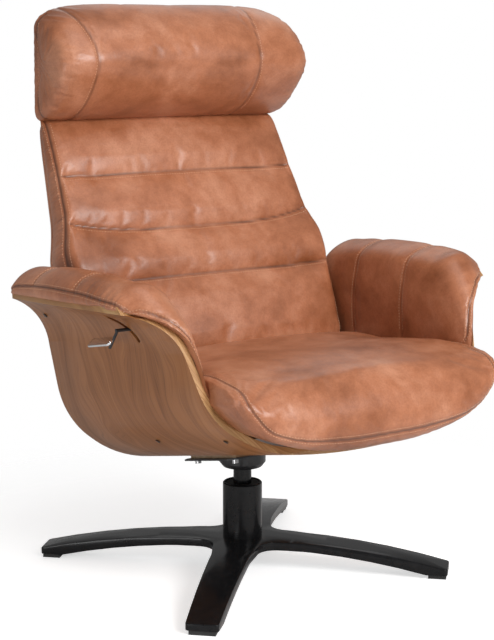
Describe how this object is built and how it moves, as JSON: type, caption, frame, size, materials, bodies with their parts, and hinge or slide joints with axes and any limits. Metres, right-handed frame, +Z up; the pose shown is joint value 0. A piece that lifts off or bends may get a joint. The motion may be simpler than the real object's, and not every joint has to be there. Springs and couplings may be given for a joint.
{
  "type": "star base swivel recliner",
  "caption": "Swivel recliner with a bent plywood shell, padded leather arms, seat, back and bolster headrest on a low star base with a release lever.",
  "frame": {"origin": "on the floor under the middle of the swivel column", "axes": "+Z up, -Y towards the front of the chair, +X towards the sitter's left"},
  "size_m": [0.839, 0.7513, 1.0795],
  "materials": {
    "black_base": "gloss",
    "black_plastic": "matte",
    "bush_plastic": "satin",
    "brown_plastic": "satin",
    "bright_steel": "satin",
    "mechanism_black": "satin",
    "chrome": "polished",
    "walnut": "satin lacquer",
    "birch": "plain",
    "tan_leather": "aniline, soft sheen"
  },
  "bodies": {
    "base": {"star_base": "black_base", "floor_glide_rear_left": "black_plastic", "floor_glide_rear_right": "black_plastic", "floor_glide_front_right": "black_plastic", "floor_glide_front_left": "black_plastic", "base_column": "black_base", "column_bush": "bush_plastic", "thrust_bearing": "bright_steel", "hub_bolt": "bright_steel"},
    "seat_unit": {"spindle": "black_base", "spindle_cup": "mechanism_black", "mechanism_plate": "mechanism_black", "mount_block": "birch", "plate_bolt_rear_left": "bright_steel", "plate_bolt_rear_right": "bright_steel", "plate_bolt_front_left": "bright_steel", "plate_bolt_front_right": "bright_steel", "shell": "walnut", "shell_plug_front_left": "brown_plastic", "shell_plug_front_right": "brown_plastic", "shell_plug_middle_left": "brown_plastic", "shell_plug_middle_right": "brown_plastic", "shell_plug_rear_left": "brown_plastic", "shell_plug_rear_right": "brown_plastic", "arm_pad_left": "tan_leather", "arm_pad_right": "tan_leather", "seat_rail_left": "mechanism_black", "seat_rail_right": "mechanism_black", "pivot_bracket_left": "mechanism_black", "pivot_bracket_right": "mechanism_black", "lever_pin": "bright_steel"},
    "backrest": {"back_cushion": "tan_leather", "back_panel": "tan_leather", "recline_arm_left": "mechanism_black", "recline_arm_right": "mechanism_black", "pivot_pin_left": "bright_steel", "pivot_pin_right": "bright_steel", "recline_cross_bar": "mechanism_black"},
    "seat": {"seat_pan": "birch", "seat_cushion": "tan_leather", "seat_runner_left": "mechanism_black", "seat_runner_right": "mechanism_black"},
    "headrest_carrier": {"headrest_post_left": "bright_steel", "headrest_post_right": "bright_steel", "headrest_bar": "bright_steel"},
    "headrest": {"headrest_cushion": "tan_leather", "headrest_knuckle_left": "mechanism_black", "headrest_knuckle_right": "mechanism_black"},
    "recline_lever": {"lever_arm": "mechanism_black", "lever_paddle": "chrome"}
  },
  "joints": [
    {"name": "swivel", "type": "hinge", "parent": "base", "child": "seat_unit", "pos_m": [0, 0, 0.1], "axis": [0, 0, 1], "continuous": true},
    {"name": "back_recline", "type": "hinge", "parent": "seat_unit", "child": "backrest", "pos_m": [0, 0.09, 0.348], "axis": [-1, 0, 0], "range_deg": [0, 20]},
    {"name": "seat_glide", "type": "slide", "parent": "seat_unit", "child": "seat", "axis": [0, -0.9781, 0.2079], "range_m": [0, 0.05]},
    {"name": "headrest_height", "type": "slide", "parent": "backrest", "child": "headrest_carrier", "axis": [0, 0.3256, 0.9455], "range_m": [0, 0.06]},
    {"name": "headrest_tilt", "type": "hinge", "parent": "headrest_carrier", "child": "headrest", "pos_m": [0, 0.288, 0.893], "axis": [1, 0, 0], "range_deg": [0, 15]},
    {"name": "recline_lever", "type": "hinge", "parent": "seat_unit", "child": "recline_lever", "pos_m": [-0.318, -0.118, 0.493], "axis": [1, 0, 0], "range_deg": [0, 18], "stiffness_Nm_per_rad": 0.6}
  ],
  "couplings": [
    {"joint": "seat_glide", "follows": "back_recline", "m_per_rad": 0.14324}
  ]
}
